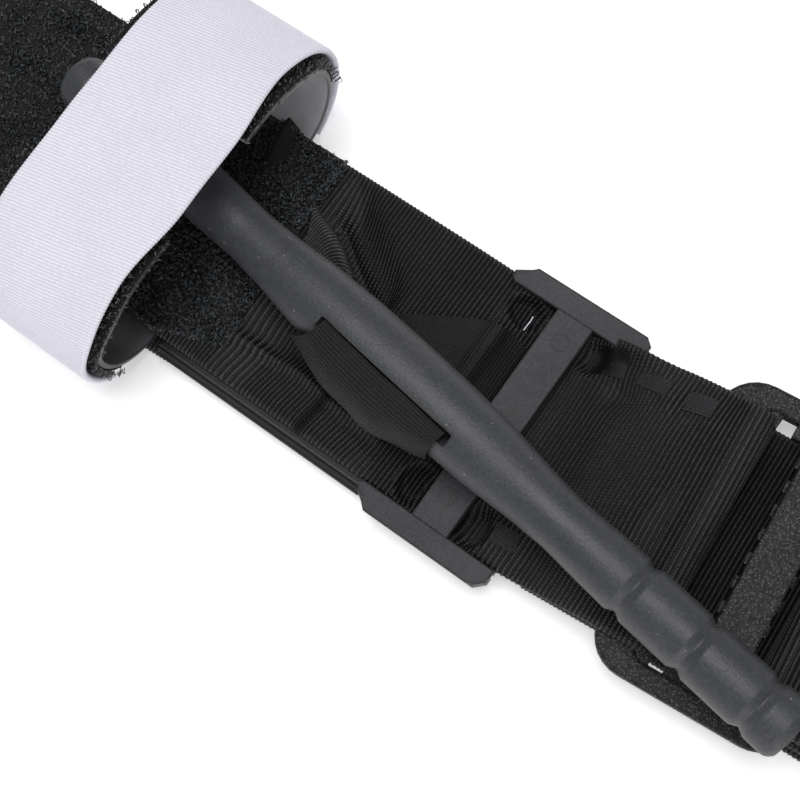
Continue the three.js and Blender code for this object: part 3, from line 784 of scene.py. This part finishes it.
def pile(name, count, x0, x1, seed):
    """Small curled loops standing on the ground cloth of the tape, lower under the rod's end."""
    rng = np.random.default_rng(seed)
    y = rng.uniform(-HALF + 0.5, HALF - 0.2, count)
    x = rng.uniform(x0, x1, count)
    x = np.where(x1 > 0, np.minimum(x, pile_end(y) + rng.uniform(-0.9, 0.3, count)), x)
    z = GROUND_Z + 0.02 + pile_lift(x, y)
    turn, lean = rng.uniform(0, 2 * math.pi, (2, count))
    wide = rng.uniform(0.35, 0.95, count)
    tall = rng.uniform(0.4, 1.15, count) * np.clip(0.8 + 0.3 * wander(seed, 4, x, y, 4), 0.6, 1.3)
    tall = tall * (1 - ramp(0.4, 0.7, ear(x, y)))
    under_rod = (x > UNDER_ROD[0]) & (x < UNDER_ROD[1]) & (y < UNDER_ROD[2])
    tall = np.where(under_rod, np.minimum(tall, ROD_UNDERSIDE - z), tall)
    slant = rng.uniform(0.1, 0.7, count)
    t = np.linspace(0, 1, 6)[None]
    across = (t - 0.5) * wide[:, None] * (1 + 0.6 * np.sin(math.pi * t))
    rise = tall[:, None] * np.sin(math.pi * t) - 0.12
    tip = slant[:, None] * np.sin(math.pi * t) ** 2
    px = x[:, None] + across * np.cos(turn)[:, None] + tip * np.cos(lean)[:, None]
    py = y[:, None] + across * np.sin(turn)[:, None] + tip * np.sin(lean)[:, None]
    py = np.clip(py, -HALF - 0.3, HALF + 0.3)
    lines = np.stack([px, py, z[:, None] + rise], axis=-1)
    return tubes(name, lines, rng.uniform(0.06, 0.1, (count, 1)), 3)


def ground_shape(xyz, y, s):
    """The ground cloth, ending along the same line as the pile."""
    x, yy = xyz[..., 0], xyz[..., 1]
    pull = (pile_end(yy) - 6.5) * ramp(-9, 6.5, x)
    return pile_lift(x + pull, yy), pull


ground_spine = Spine(straight((-112, GROUND_Z), (-50, GROUND_Z), (GROUND_END, GROUND_Z)), 0.35)
ground = strip("pile_ground", ground_spine, HALF, 0.35, top=90, bottom=4, rib=2.1, amp=0.03,
               shape=ground_shape)
finish(ground, BAND, mat_pile_base, "loop_pile", "loop_tape", "inner_strap_in_sleeve")
for i, (x0, x1, count) in enumerate(PILE):
    finish(pile(f"pile_{i + 1}", count, x0, x1, 40 + i), BAND, mat_pile, "loop_pile")


# ---- base plate and slotted frame
PLATE_START = -1.0
FRAME_X = (37.2, 60.1)  # where the frame starts and stops along the band
PLATE_Z = (2.35, 3.8)
# outlines along the band and inwards from the frame's edge
COVER_FAR = [(37.3, 2.9), (40.2, 0.0), (59.0, 0.0), (60.2, 1.0), (60.1, 3.7), (38.2, 3.7)]
COVER_NEAR = [(36.6, 2.9), (39.8, 0.0), (57.6, 0.0), (58.9, 0.4), (59.8, 1.3), (60.2, 2.6), (60.1, 3.7),
              (37.4, 3.7)]
WALL_LINE = [(37.2, 1.9), (40.0, 0.1), (58.6, 0.1), (60.1, 1.6), (60.1, 2.6), (37.2, 2.6)]
PIN_MARKS = [(48.7, -14.1), (49.0, 13.5)]


def rim(side, points):
    """An outline given inwards from one side of the frame, turned to run anticlockwise."""
    line = [(x, (FRAME_Y[1] - y) if side > 0 else (FRAME_Y[0] + y)) for x, y in points]
    return line[::-1] if side > 0 else line


def ring_of(x, y, radius):
    turns = np.linspace(0, 2 * math.pi, 28, endpoint=False)
    return [(x + radius * math.cos(a), y + radius * math.sin(a)) for a in turns]


def base_plate():
    low, high = PLATE_Y
    inner, outer = low + 0.6, high + 0.4  # the cross bars run into the walls
    parts = [
        slab("plate", PLATE_START, 38, low, high, *PLATE_Z, 0.3),
        slab("lip", PLATE_START, 37.5, low, low + 0.55, 3.0, 4.45, 0.18),
        slab("foot", PLATE_START, FRAME_X[0], low - 1.15, low - 0.85, PLATE_Z[0], 2.85, 0.12),
        slab("foot_floor", PLATE_START, FRAME_X[0], low - 1.0, low + 0.2, PLATE_Z[0], 2.55, 0.08),
    ]
    for side, cover in ((-1, COVER_NEAR), (1, COVER_FAR)):
        parts.append(plate("wall", rim(side, WALL_LINE), PLATE_Z[0], 5.6, 0.4))
        parts.append(plate("cover", rim(side, cover), 4.9, 6.15, 0.3))
    parts.append(slab("near_cross", 36.8, 40.2, inner, outer, *PLATE_Z, 0.3))
    parts.append(slab("far_cross", 56.4, FRAME_X[1], inner, outer, *PLATE_Z, 0.3))
    parts.append(slab("bar", 45.8, 52.0, inner, outer, 4.1, 6.0, 0.3))
    for x, y in PIN_MARKS:
        parts.append(plate("pin_mark", ring_of(x, y, 1.4), 5.9, 6.07, 0.03, 1, [ring_of(x, y, 1.22)[::-1]]))
    return join("base_plate_moulding", *parts)


def plate_shade_strip():
    """The sloping strip between the plate's lip and its foot, in near-black: painted shade standing in for
    the shade in the groove there.
    """
    (top_y, top_z), (foot_y, foot_z) = (PLATE_Y[0] - 0.05, 4.3), (PLATE_Y[0] - 0.8, 2.75)
    middle = top_y / 2 + foot_y / 2
    ends = [(-0.9, middle, 3.5, 0), (37.1, middle, 3.5, 0)]
    spine = Spine(ends, 1.0, side=(0, top_y - foot_y, top_z - foot_z))
    return strip("plate_shade_strip", spine, 0.5, 0.3, edge=0.1, top=2, bottom=2, rib=3.0, amp=0.0)


finish(base_plate(), BAND, mat_plate, "plate_nylon", "base_plate")
# a near-black strip as painted shade between the plate's lip and its foot
finish(plate_shade_strip(), BAND, mat_melted_and_painted_shade, "plate_nylon")


# ---- clip, hook tape and security strap
WALL, HOOK_ROOM, STRAP_T = 1.1, 1.8, 1.0
HOOK_BASE = WALL / 2 + 0.1
HOOKS_ACROSS = 36
STRAP_REACH = WALL / 2 + HOOK_ROOM + STRAP_T / 2
STRAP_CROWN = [(-4.5, 25.75), (0, 25.9), (4.5, 25.75)]
CLIP_LEAN = (0.25, 0.0, 1.6, 0.75)
STRAP_LEAN = (1.25, 1.4, 1.1, 0.0)


def cubic(a, b, c, d, n):
    t = np.linspace(0, 1, n + 1)[:, None]
    a, b, c, d = (np.asarray(v, float) for v in (a, b, c, d))
    return (1 - t) ** 3 * a + 3 * (1 - t) ** 2 * t * b + 3 * (1 - t) * t**2 * c + t**3 * d


def horn(out):
    """One horn's profile in y and z, from the base to the tip; out widens it."""
    low = cubic((19, 3.05), (27 + out, 4.5), (28.4 + out, 13), (25 + out / 2, 17.6), 12)
    return np.vstack([low, cubic((25 + out / 2, 17.6), (22, 21.6), (15.5, 23.2), (9.1, 22.8), 10)[1:]])


# each horn's side, its profile and the point of it where the hook tape starts
HORNS = {"far": (1, horn(0.0), 7), "near": (-1, horn(0.9), 4)}


def profile_spine(points, x, step):
    """A spine drawn in y and z at one x, for a strip whose width runs along the band."""
    return Spine([(x, y, z) for y, z in points], step, side=(1, 0, 0))


def leaned(ob, near, far, low_near, low_far):
    """Moves the open edge back along the band.

    It moves by near and far on those sides, and by the low amounts down the horns' flanks.
    """
    def back(co):
        x, y, z = co.T / MM
        low = low_near + (low_far - low_near) * ramp(-6, 6, y)
        reach = near * ramp(-5, -18, y) + far * ramp(7, 21, y) + low * ramp(21.5, 12, z)
        co[:, 0] -= reach * MM * ramp(-14, 0, x)
    return moved(ob, back)


def shifted(points, reach):
    p = np.asarray(points, float)
    d = unit(np.gradient(p, axis=0))
    return p + reach * np.stack([d[:, 1], -d[:, 0]], axis=1)


def hooks(name, path, seed):
    """Rows of small curled hooks standing off the tape."""
    rng = np.random.default_rng(seed)
    sp = profile_spine(path, CLIP_MID, 0.7)
    rows, cols = len(sp.s), HOOKS_ACROSS
    i = np.repeat(np.arange(rows), cols)
    along_band = np.array([1.0, 0, 0])
    even = np.tile(np.linspace(-CLIP_HALF + 0.4, CLIP_HALF + 0.25, cols), rows)
    x = even + rng.uniform(-0.3, 0.3, rows * cols)
    edge = x > CLIP_HALF - 0.6
    base = sp.p[i] + rng.uniform(-0.3, 0.3, (len(i), 1)) * sp.t[i] + along_band * x[:, None]
    out = unit(sp.up[i] + along_band * (edge * rng.uniform(0.0, 0.5, len(i)))[:, None])
    lean = rng.uniform(0, 2 * math.pi, len(i))
    run = sp.t[i] * np.cos(lean)[:, None] + along_band * np.sin(lean)[:, None]
    tall = rng.uniform(0.6, 1.0, len(i))
    curl = rng.uniform(0.2, 0.34, len(i))
    lines = [base + out * (tall * k / 2)[:, None] for k in range(3)]
    for a in np.radians([45, 90, 140, 200, 245]):
        up, over = tall + curl * math.sin(a), curl * (1 - math.cos(a))
        lines.append(base + out * up[:, None] + run * over[:, None])
    return tubes(name, np.stack(lines, axis=1), 0.08, 3)


clip_line = np.vstack([HORNS["near"][1][::-1] * [-1, 1], HORNS["far"][1]])
clip = strip("windlass_clip_moulding", profile_spine(clip_line[::-1], CLIP_MID, 0.5), CLIP_HALF, WALL,
             edge=0.45, top=24, bottom=24, arc_n=4, amp=0.0, sharp=40)
finish(leaned(clip, *CLIP_LEAN), BAND, mat_clip, "plate_nylon", "windlass_clip")

for label, (mirror, profile, first) in HORNS.items():
    path = shifted(profile, HOOK_BASE)[first:] * [mirror, 1]
    path = path if mirror > 0 else path[::-1]
    tape = strip(f"hook_ground_{label}", profile_spine(path, CLIP_MID, 0.5), CLIP_HALF - 0.1, 0.2, edge=0.09,
                 top=30, bottom=4, rib=1.1, amp=0.03)
    finish(leaned(tape, *CLIP_LEAN), BAND, mat_pile_base, "hook_tape", f"hook_tape_{label}")
    standing = hooks(f"hooks_{label}", path, 51 + mirror)
    finish(leaned(standing, *CLIP_LEAN), BAND, mat_hook, "hook_tape")

near_side = shifted(HORNS["near"][1], STRAP_REACH)[4:] * [-1, 1]
far_side = shifted(HORNS["far"][1], STRAP_REACH)[1:][::-1]
strap_path = np.vstack([near_side[:-1], STRAP_CROWN, far_side[1:]])
strap_spine = profile_spine(strap_path, sum(STRAP) / 2, 0.5 / ROWS)
strap = strip("security_strap_band", strap_spine, (STRAP[1] - STRAP[0]) / 2, STRAP_T, top=12, bottom=62,
              rib=0.5, amp=0.045, skew=-0.2)
finish(leaned(strap, *STRAP_LEAN), None, mat_white, "white_webbing",
       "security_strap", "security_strap_anchor")


# ---- windlass rod
ROD_R = rot_z(ROD_YAW) @ rot_y(-ROD_PITCH)
ROD_AT = [0, 9, 17, 25, 31, 38, 42, ROD_HALF]  # places along half the rod
ROD_RADII = [5.75, 5.67, 5.3, 4.5, 4.15, 4.42, 4.5, 4.5]
GROOVES = (43.6, 54.2, 64.6)
GROOVE_FLOOR, GROOVE_LINE = (0.4, 0.95), (0.24, 0.32)  # depth and reach of each groove and of its middle line
SLOT_DEPTH = 3.6
ROD_SIDES = 168


def rod_world(p):
    return np.asarray(p) @ ROD_R.T + np.array(ROD_CENTRE)


def rod_radius(s):
    """The rod's radius along it: thick in the middle, ring grooves near the ends, rounded tips."""
    a = np.abs(s)
    r = np.interp(a, ROD_AT, ROD_RADII)
    for at in GROOVES:
        r = r - GROOVE_FLOOR[0] * np.exp(-(((a - at) / GROOVE_FLOOR[1]) ** 4))
        r = r - GROOVE_LINE[0] * bump(a, at, GROOVE_LINE[1])
    end = np.clip((a - (ROD_HALF - 1.6)) / 1.6, 0, 1)
    return r * np.sqrt(np.maximum(1 - 0.16 * end**3, 0.01)) - 0.55 * end**2


def windlass():
    """The rod, with a slot sunk into its upper flank and a domed cap at each end."""
    fine = np.arange(-14.5, 14.51, 0.25)
    coarse = [np.arange(14.9, 42, 0.9), np.arange(42, 66.5, 0.22), np.arange(66.7, 70.01, 0.3), [ROD_HALF]]
    coarse = np.concatenate(coarse)
    s = np.unique(np.round(np.concatenate([-coarse[::-1], fine, coarse]), 4))
    n = ROD_SIDES
    a = 2 * math.pi * np.arange(n) / n
    r = rod_radius(s)[:, None] * np.ones(n)[None]
    y, z = r * np.cos(a), r * np.sin(a)
    tilt = math.radians(SLOT_TILT)
    off = np.abs(y * math.sin(tilt) + z * math.cos(tilt))
    out_to = np.abs(-y * math.cos(tilt) + z * math.sin(tilt))
    lengthwise = (1 - ramp(SLOT_HALF - 0.55, SLOT_HALF + 0.15, np.abs(s)))[:, None]
    r = r - SLOT_DEPTH * (lengthwise * (1 - ramp(0.75, 1.15, off)) * (out_to > 2))
    x = np.broadcast_to(s[:, None], r.shape)
    pos = np.stack([x, r * np.cos(a), r * np.sin(a)], axis=-1).reshape(-1, 3)
    rings, ends = [pos], []
    faces = [grid_faces(len(s), n, True)[:, ::-1]]
    count = len(pos)
    nxt = np.roll(np.arange(n), -1)
    for row, sign in ((0, -1), (len(s) - 1, 1)):
        prev = np.arange(n) + row * n
        for f in (0.72, 0.4, 0.1):
            rings.append(pos[row * n:(row + 1) * n] * [1, f, f] + [sign * 0.12 * (1 - f), 0, 0])
            idx = np.arange(n) + count
            quads = np.stack([prev, prev[nxt], idx[nxt], idx], axis=-1)
            faces.append(quads if sign < 0 else quads[:, ::-1])
            prev = idx
            count += n
        ends.append(prev[::-1] if sign < 0 else prev)
    polys = [np.vstack(faces), np.array(ends)]
    return mesh_object("windlass_rod_moulding", rod_world(np.vstack(rings)), polys, sharp=62)


finish(windlass(), "windlass", mat_rod, "rod_nylon", "windlass_rod")


# ---- inner strap through the rod
def belly_rows():
    """The strap from the slot's upper mouth, over the rod's flank and back under it."""
    slot_line = [(-11.7, -2.1, 5.0), (-6, -2.3, 5.1), (0, -2.35, 5.12), (6, -2.3, 5.1), (11.7, -2.3, 4.9)]
    shoulder = [(-12.6, -5.0, 3.9), (-8, -5.5, 4.1), (-2, -5.9, 4.2), (4, -5.8, 4.1), (11.2, -4.9, 3.6)]
    flank = [(-15.6, -6.4, 0.2), (-9.6, -7.7, 0.6), (-3, -8.5, 0.6), (4.5, -8.2, 0.4), (11.0, -6.2, 0.2)]
    low = [(-15.4, -5.6, -4.2), (-8, -7.0, -4.2), (-1, -7.4, -4.3), (5, -6.7, -4.3), (10.2, -4.8, -4.2)]
    beneath = [(-12, -1.5, -6.7), (-6, -1.6, -6.8), (0, -1.6, -6.8), (5, -1.5, -6.8), (9, -1.2, -6.7)]
    return [rod_world(line) for line in (slot_line, shoulder, flank, low, beneath)]


def belly_ripple(a, b, p):
    uneven = 0.12 * wander(71, 4, p[..., 0], p[..., 1], 5)
    return 0.28 * np.sin(5.2 * b + 3.0 * a + 1.1) * a * (1 - a) * 3 + uneven


TO_FRAME = [
    [(25.5, -9, 6.5), (25.6, -3, 6.7), (26.4, 3.3, 6.5)],
    [(31, -9.5, 6.9), (31.2, -2, 7.2), (31.2, 6.1, 6.7)],
    [(36, -9.3, 6.7), (36.2, 0, 7.0), (36.3, 9.1, 6.7)],
    [(38.4, -9.3, 6.3), (38.6, 0, 6.6), (38.8, 10.2, 6.4)],
    [(40.3, -9.3, 6.8), (40.5, 0, 7.2), (40.7, 10.5, 7.0)],
    [(42.4, -9, 5.4), (42.5, 0, 5.5), (42.5, 10.8, 5.3)],
    [(45.2, -9, 3.9), (45.2, 0, 3.9), (45.2, 10.4, 3.9)],
]
FROM_SLEEVE = [
    [(6.4, 10.9, 5.9), (11.3, 8.7, 5.9), (16.4, 6.1, 5.8), (18.6, 4.6, 5.8)],
    [(6.8, 10.2, 7.2), (11.5, 8.0, 8.1), (16.2, 5.5, 8.0), (18, 4.2, 7.4)],
    [(8, 7.6, 7.2), (12, 5.8, 7.7), (17, 3.6, 7.2)],
    [(9, 4, 6.6), (13, 2.4, 6.9), (19, 0.5, 6.7)],
    [(10, -4, 6.4), (15, -5, 6.5), (22, -6, 6.4)],
]
belly = sheet("inner_strap_wrap", belly_rows(), 0.7, cols=60, lines=70, ripple=belly_ripple)
finish(belly, None, mat_inner, "inner_weave", "inner_strap_belly", "inner_strap_in_slot")
to_frame = sheet("inner_strap_to_frame", TO_FRAME, 0.6, cols=48, lines=90,
                 ripple=lambda a, b, p: 0.16 * wander(72, 4, p[..., 0], p[..., 1], 6))
finish(to_frame, BAND, mat_inner, "inner_weave", "inner_strap_right")
from_sleeve = sheet("inner_strap_from_sleeve", FROM_SLEEVE, 0.5, cols=48, lines=70,
                    ripple=lambda a, b, p: 0.15 * np.sin(9 * b + 2 * a))
finish(from_sleeve, BAND, mat_fold, "inner_weave", "inner_strap_left")


# ---- bonded patches and a loose thread
PATCHES = [
    [(62.8, 16.1), (67.2, 16.5), (66.7, 13.9), (62.6, 14.0)],
    [(70.0, 16.3), (74.2, 16.8), (74.0, 13.7), (70.2, 13.4)],
    [(55.4, -12.8), (59.2, -12.8), (59.7, -15.5), (55.7, -15.7)],
]
MELTED_SPOT = [(55.6, 17.3), (60.0, 17.9), (60.8, 13.9), (56.0, 12.9)]
THREAD = [(43.4, 14.8, 4.9), (43.55, 14.0, 5.3), (43.5, 13.1, 5.3), (43.45, 12.3, 5.1)]
PATCH_CELLS = 14


def patch(name, corners, proud=0.05):
    """A thin bonded area lying on the band, between four corners."""
    band = band_right.data
    tree = BVHTree.FromPolygons([v.co for v in band.vertices], [p.vertices for p in band.polygons])
    even = np.linspace(0, 1, PATCH_CELLS + 1)
    a, b = (v[..., None] for v in np.meshgrid(even, even, indexing="ij"))
    c = np.array([on_right(*q, 0)[:2] for q in corners])
    xy = (1 - a) * (1 - b) * c[0] + (1 - a) * b * c[1] + a * b * c[2] + a * (1 - b) * c[3]

    def height(q):
        return tree.ray_cast(Vector((*(q * MM), 0.03)), Vector((0, 0, -1)))[0].z / MM

    z = np.array([[height(q) for q in row] for row in xy])
    for _ in range(6):
        grown = np.pad(z, 1, mode="edge")
        around = grown[2:, 1:-1] + grown[:-2, 1:-1] + grown[1:-1, 2:] + grown[1:-1, :-2]
        z = np.maximum(z - 0.02, around / 4)
    rows = np.concatenate([xy, z[..., None] + proud], axis=-1)
    return sheet(name, list(rows), 0.3, cols=PATCH_CELLS, lines=2 * PATCH_CELLS)


for i, corners in enumerate(PATCHES):
    finish(patch(f"bonded_patch_{i + 1}", corners), BAND, mat_patch, "webbing")
finish(patch("melted_spot", MELTED_SPOT, proud=0.02), BAND, mat_melted_and_painted_shade, "webbing")
finish(tubes("loose_thread", np.array([THREAD]), 0.09, 5), BAND, mat_white, "webbing")


# ---- routing buckle
BUCKLE_X, BUCKLE_HALF = (74, 104), 23
BUCKLE_OPEN_X, BUCKLE_OPEN_HALF = (80.5, 99.8), 19.7
TEETH, TOOTH_PITCH, TOOTH_X = 9, 3.8, (87.35, 94.65)


def rounded(x0, x1, half, corner, n=7):
    """An anticlockwise rectangle with rounded corners."""
    pts = []
    high, low = half - corner, -half + corner
    left, right = x0 + corner, x1 - corner
    for cx, cy, start in ((right, high, 0), (left, high, 90), (left, low, 180), (right, low, 270)):
        for k in range(n + 1):
            a = math.radians(start + 90 * k / n)
            pts.append((cx + corner * math.cos(a), cy + corner * math.sin(a)))
    return pts


def turned_right(ob):
    """Turned with the rest of the buckle side."""
    to_pivot = Matrix.Translation((PIVOT_X * MM, 0, 0))
    turn = Matrix.Rotation(math.radians(RIGHT_YAW), 4, "Z")
    ob.data.transform(to_pivot @ turn @ to_pivot.inverted())
    return ob


def buckle():
    opening = rounded(*BUCKLE_OPEN_X, BUCKLE_OPEN_HALF, 1.2, 3)[::-1]
    parts = [
        plate("ring", rounded(*BUCKLE_X, BUCKLE_HALF, 6), 4.9, 7.7, 0.6, 3, [opening]),
        slab("tooth_bar", 87.8, 94.2, -20.6, 20.6, 5.1, 7.6, 0.35),
    ]
    for side in (-1, 1):
        for x0, x1 in ((80.0, 82.9), (85.0, 88.4)):
            web = [(x0, side * 17.6), (x0, side * 20.4), (x1, side * 20.4), (x1 - 0.3, side * 17.6)]
            parts.append(plate("corner_web", web[::-side], 5.2, 7.3, 0.2, 1))
    for i in range(TEETH):
        y = (i - TEETH // 2) * TOOTH_PITCH
        parts.append(slab("tooth", *TOOTH_X, y - 0.95, y + 0.95, 5.2, 5.8, 0.2, 1))
    return turned_right(join("routing_buckle_moulding", *parts))


finish(buckle(), "buckle", mat_buckle, "buckle_nylon", "routing_buckle")


# ---- tail
def tail_shape(xyz, y, s):
    return 0.1 * wander(61, 4, s, y, 18) * ramp(12, 30, s), 0.2 * wander(62, 4, s, y, 20)


tail_rows = right_rows((97.1, 3.6), (97.1, 4.6), *arc(99.1, 6.7, 2, 180, 90, 5), (101.6, 8.7), (104.2, 8.65),
                       (106, 8.25), (108, 7.5), (116, 6.1), (150, 6.8), (190, 9.2), (205.2, 10.7))
tail = strip("tail_band", Spine(tail_rows, STEP), HALF, BAND_T, top=44, bottom=20, shape=tail_shape)
finish(tail, None, mat_web, "webbing", "tail_fold", "tail")
hook_rows = right_rows((146, 5.75), (170, 7.0), (190, 8.25), (204, 9.6))
under_hooks = strip("tail_hooks", Spine(hook_rows, 0.35), HALF - 1, 0.4, top=20, bottom=60, rib=1.4, amp=0.06)
finish(under_hooks, "tail", mat_under_hooks, "hook_tape", "tail_hook_tape")
tip_rows = right_rows((204.9, 10.75), (214, 11.9), (223, 13.1))
tip = strip("tip_cover", Spine(tip_rows, 0.4), HALF - 0.4, 2.2, edge=0.5, top=30, bottom=30, arc_n=3, rib=1.2,
            amp=0.03, sharp=40)
finish(tip, "tail", mat_plate, "plate_nylon", "band_tip")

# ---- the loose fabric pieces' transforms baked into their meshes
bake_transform(strap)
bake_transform(belly)
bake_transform(tail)
